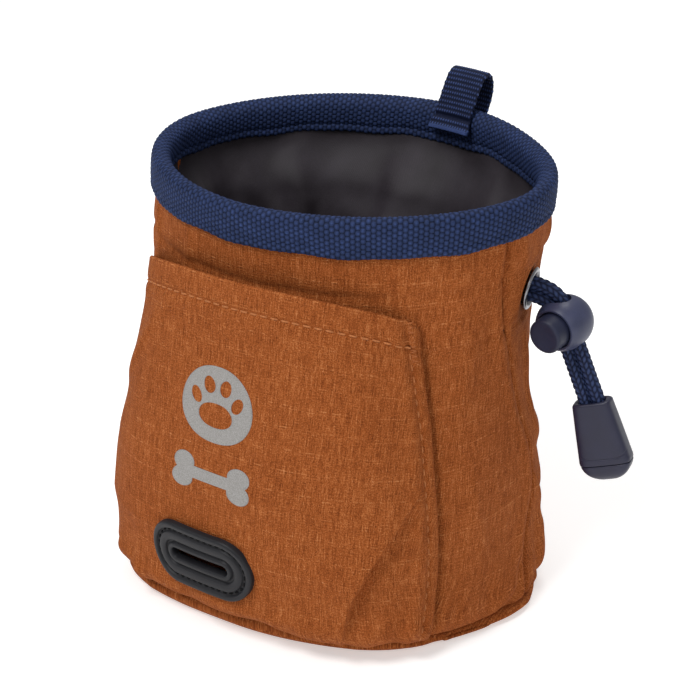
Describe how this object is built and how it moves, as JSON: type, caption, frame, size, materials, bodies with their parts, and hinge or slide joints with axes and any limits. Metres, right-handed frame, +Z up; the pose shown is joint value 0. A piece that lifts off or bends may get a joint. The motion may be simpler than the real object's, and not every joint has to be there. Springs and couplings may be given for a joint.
{
  "type": "treat pouch",
  "caption": "Open-mouthed fabric training pouch on a wire hoop, with a patch pocket, a bag dispenser slot, a hanging loop and a drawcord with a cord lock.",
  "frame": {"origin": "centre of the base's flat underside", "axes": "+X to the pouch's right where the drawcord hangs, -Y out of its front pocket, +Z up through the mouth"},
  "size_m": [0.1551, 0.1314, 0.1458],
  "materials": {
    "rust_ripstop": "heathered ripstop polyester, matt",
    "coated_lining": "dark coated woven lining, faint gloss",
    "navy_webbing": "ribbed polyester webbing",
    "navy_cord": "braided polyester cord",
    "navy_plastic": "moulded acetal, fine satin",
    "black_rubber": "moulded soft rubber, matt",
    "spring_steel": "plain drawn wire",
    "eyelet_metal": "nickel-plated brass"
  },
  "bodies": {
    "pouch": {"base_panel": "rust_ripstop", "shell_front_panel": "rust_ripstop", "shell_back_panel": "rust_ripstop", "lining_base": "coated_lining", "lining_wall": "coated_lining", "rim_binding": "navy_webbing", "rim_hoop_wire": "spring_steel", "rim_loop": "navy_webbing", "front_pocket": "rust_ripstop", "dispenser_port": "black_rubber", "eyelet_barrel": "eyelet_metal", "eyelet_washer": "eyelet_metal", "drawcord_hidden_run": "navy_cord"},
    "drawcord_tail": {"drawcord_strand_upper": "navy_cord", "drawcord_strand_lower": "navy_cord", "cord_end_body": "navy_plastic", "cord_end_lid": "navy_plastic"},
    "cord_lock": {"cord_lock_body": "navy_plastic", "cord_lock_spring": "spring_steel"},
    "lock_button": {"cord_lock_button": "navy_plastic"}
  },
  "joints": [
    {"name": "cord_swing", "type": "hinge", "parent": "pouch", "child": "drawcord_tail", "pos_m": [0.05926, 0.01631, 0.10017], "axis": [0.9639, 0.2661, 0], "range_deg": [-60, 60], "deforming": ["drawcord_strand_upper", "drawcord_strand_lower"]},
    {"name": "cord_lock_slide", "type": "slide", "parent": "drawcord_tail", "child": "cord_lock", "axis": [0.3567, 0.0985, -0.929], "range_m": [0, 0.0145]},
    {"name": "lock_button_press", "type": "slide", "parent": "cord_lock", "child": "lock_button", "axis": [0.0236, 0.9932, 0.1143], "range_m": [0, 0.0018], "stiffness_N_per_m": 800, "deforming": ["cord_lock_spring"]}
  ]
}
